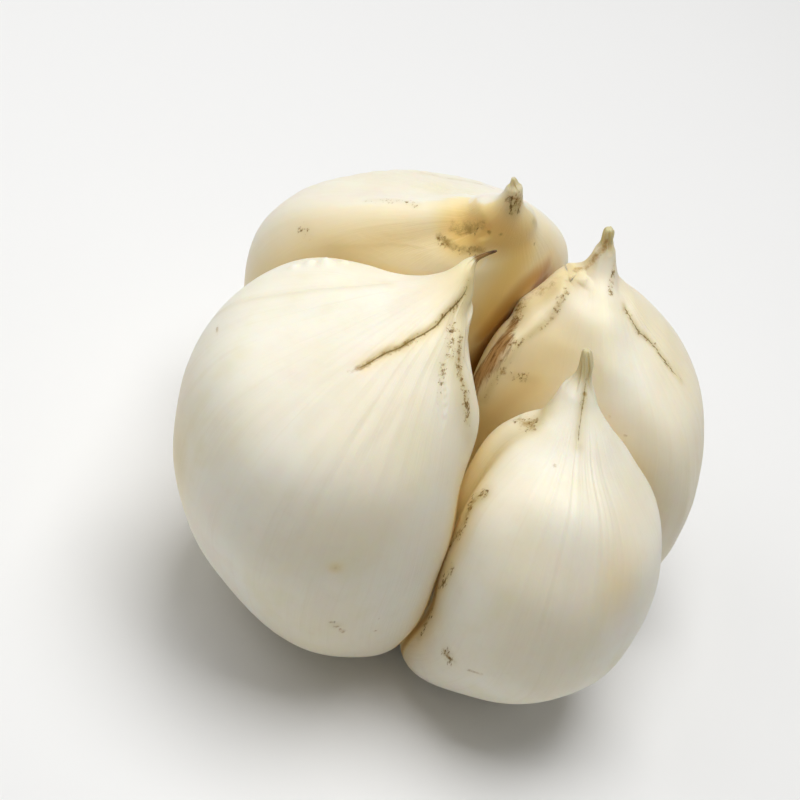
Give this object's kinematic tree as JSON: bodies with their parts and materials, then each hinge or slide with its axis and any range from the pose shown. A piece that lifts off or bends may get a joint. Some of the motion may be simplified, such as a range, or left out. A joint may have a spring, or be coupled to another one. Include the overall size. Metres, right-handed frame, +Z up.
{
  "type": "elephant garlic bulb",
  "caption": "Peeled elephant garlic bulb: large ivory cloves with hooked beaks, set round the bulb's axis on a flat woody root plate.",
  "frame": {"origin": "middle of the root plate's flat underside, where the bulb's axis meets the surface it rests on", "axes": "+Z up along the bulb's axis; -Y towards the small front-right clove and the large front-left clove; +X to the right of a viewer who looks along +Y"},
  "size_m": [0.1093, 0.1124, 0.0985],
  "materials": {
    "clove_skin": "smooth satin clove skin over pale waxy flesh",
    "root_plate": "dry fibrous trimmed root plate"
  },
  "bodies": {
    "root": {"clove_front_left": "clove_skin", "clove_front_right": "clove_skin", "clove_right": "clove_skin", "clove_back": "clove_skin", "root_plate": "root_plate"}
  },
  "joints": []
}
